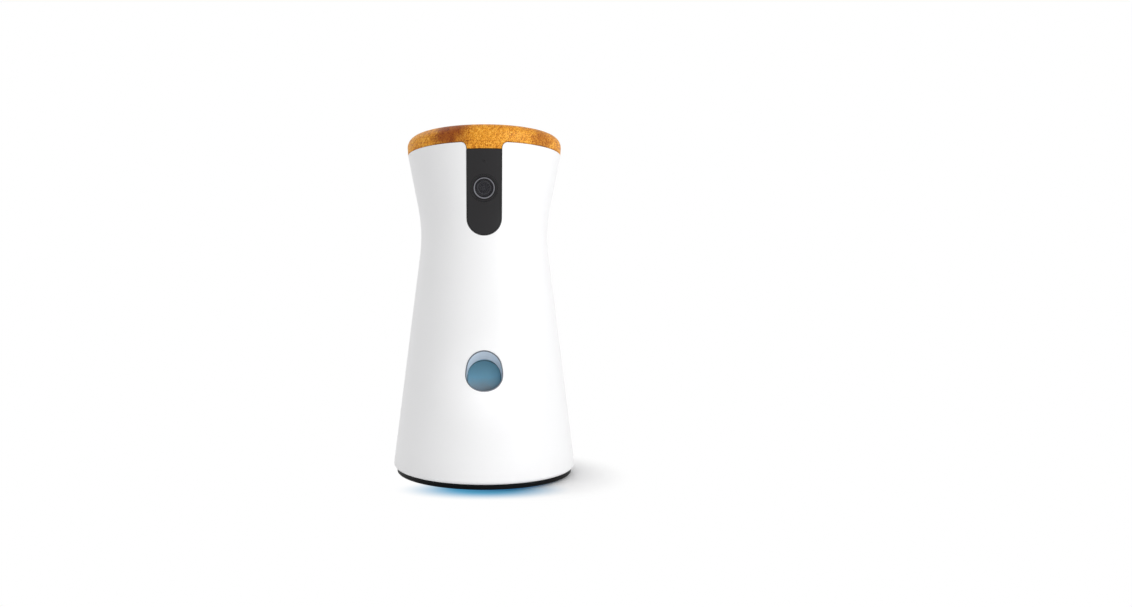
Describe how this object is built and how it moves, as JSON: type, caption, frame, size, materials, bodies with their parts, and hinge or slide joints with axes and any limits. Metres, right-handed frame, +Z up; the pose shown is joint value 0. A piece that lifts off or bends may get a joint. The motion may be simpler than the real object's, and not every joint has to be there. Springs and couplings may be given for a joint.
{
  "type": "treat tossing pet camera",
  "caption": "Waisted tower camera for pets: it turns on its base, watches through a front window, and tosses a treat out of a low round-topped outlet; the lid lifts off to fill it.",
  "frame": {"origin": "on the table under the middle of the base", "axes": "+Z up, the camera and the outlet face -Y, the power inlet is at +Y"},
  "size_m": [0.1212, 0.1212, 0.2238],
  "materials": {
    "shell_white": "satin white moulded plastic",
    "lid_wood": "fine straight grain, clear satin lacquer",
    "window_black": "dark grey satin",
    "base_black": "fine texture",
    "inner_black": "matt",
    "inner_grey": "matt",
    "outlet_grey": "matt blue-grey",
    "leaf_blue": "satin blue-grey",
    "wheel_plastic": "matt",
    "gear_plastic": "natural acetal",
    "light_guide": "clear, lit blue",
    "lamp": "clear moulded",
    "button": "matt",
    "rubber": "matt",
    "silicone": "translucent white",
    "cable": "matt",
    "flat_cable": "amber film",
    "circuit_board": "green solder mask",
    "chip": "moulded black",
    "connector": "moulded cream",
    "speaker": "black frame and paper cone",
    "motor": "bright can",
    "steel": "zinc plated",
    "bright_steel": "polished",
    "brass": "turned",
    "lens_ring": "satin silver ring",
    "lens_glass": "coated dark glass",
    "lens_barrel": "black"
  },
  "bodies": {
    "root": {"foot_ring": "rubber", "bottom_plate": "base_black", "light_guide": "light_guide", "led_board": "circuit_board", "led_chips": "lamp", "base_housing": "inner_black", "base_screws": "steel", "base_board": "circuit_board", "base_connector": "connector", "power_socket": "bright_steel", "tact_switch": "chip", "pan_gear": "gear_plastic", "lower_race": "gear_plastic", "keeper_ring": "steel"},
    "cage": {"bearing_cage": "gear_plastic", "bearing_balls": "bright_steel"},
    "button": {"setup_button": "button"},
    "pinion": {"pan_pinion": "brass"},
    "wheel": {"treat_wheel": "wheel_plastic", "wheel_gear": "gear_plastic"},
    "dose_drive": {"dose_pinion": "brass"},
    "paddle": {"toss_paddle": "leaf_blue", "paddle_shaft": "steel", "sector_gear": "gear_plastic", "toss_spring": "steel"},
    "toss_drive": {"toss_drive_gear": "gear_plastic"},
    "lid": {"lid_top": "lid_wood", "lid_liner": "inner_black", "lid_seal": "silicone", "lid_screws": "steel"},
    "turret": {"outer_shell": "shell_white", "turntable": "inner_black", "upper_race": "gear_plastic", "turret_screws": "steel", "pan_motor": "motor", "frame_posts": "brass", "mid_deck": "inner_black", "treat_chute": "inner_grey", "toss_housing": "outlet_grey", "outlet_duct": "outlet_grey", "toss_motor": "motor", "hopper": "inner_grey", "wheel_bush": "brass", "dosing_motor": "motor", "main_board": "circuit_board", "board_chips": "chip", "speaker": "speaker", "window_panel": "window_black", "window_frame": "inner_black", "lens_bezel": "window_black", "lens_ring": "lens_ring", "lens_glass": "lens_glass", "lens_barrel": "lens_barrel", "camera_board": "circuit_board", "camera_bracket": "inner_black", "ir_board": "circuit_board", "ir_leds": "lamp", "microphone": "chip", "harness": "cable", "camera_flex": "flat_cable"}
  },
  "joints": [
    {"name": "pan", "type": "hinge", "parent": "root", "child": "turret", "pos_m": [0, 0, 0.017], "axis": [0, 0, 1], "range_deg": [-180, 180]},
    {"name": "cage_turn", "type": "hinge", "parent": "root", "child": "cage", "pos_m": [0, 0, 0.01705], "axis": [0, 0, 1], "range_deg": [-90, 90]},
    {"name": "pan_pinion_turn", "type": "hinge", "parent": "turret", "child": "pinion", "pos_m": [0.02598, 0.015, 0.016], "axis": [0, 0, 1], "range_deg": [-720, 720]},
    {"name": "button_press", "type": "slide", "parent": "root", "child": "button", "axis": [0, 0, 1], "range_m": [0, 0.0005], "stiffness_N_per_m": 300},
    {"name": "treat_wheel_turn", "type": "hinge", "parent": "turret", "child": "wheel", "pos_m": [0, 0.0065, 0.139], "axis": [0, 0, 1], "continuous": true},
    {"name": "dose_pinion_turn", "type": "hinge", "parent": "turret", "child": "dose_drive", "pos_m": [0, 0.0195, 0.134], "axis": [0, 0, 1], "continuous": true},
    {"name": "paddle_toss", "type": "hinge", "parent": "turret", "child": "paddle", "pos_m": [0, -0.0385, 0.051], "axis": [-1, 0, 0], "range_deg": [0, 45], "stiffness_Nm_per_rad": 0.01, "springref_deg": -17.19},
    {"name": "toss_drive_turn", "type": "hinge", "parent": "turret", "child": "toss_drive", "pos_m": [0, -0.02224, 0.03474], "axis": [-1, 0, 0], "range_deg": [-70.01, 0]},
    {"name": "lid_lift", "type": "slide", "parent": "turret", "child": "lid", "axis": [0, 0, 1], "range_m": [0, 0.06]}
  ],
  "couplings": [
    {"joint": "cage_turn", "follows": "pan", "ratio": 0.5},
    {"joint": "pan_pinion_turn", "follows": "pan", "ratio": 4},
    {"joint": "dose_pinion_turn", "follows": "treat_wheel_turn", "ratio": -1.6},
    {"joint": "toss_drive_turn", "follows": "paddle_toss", "ratio": -1.5556}
  ]
}
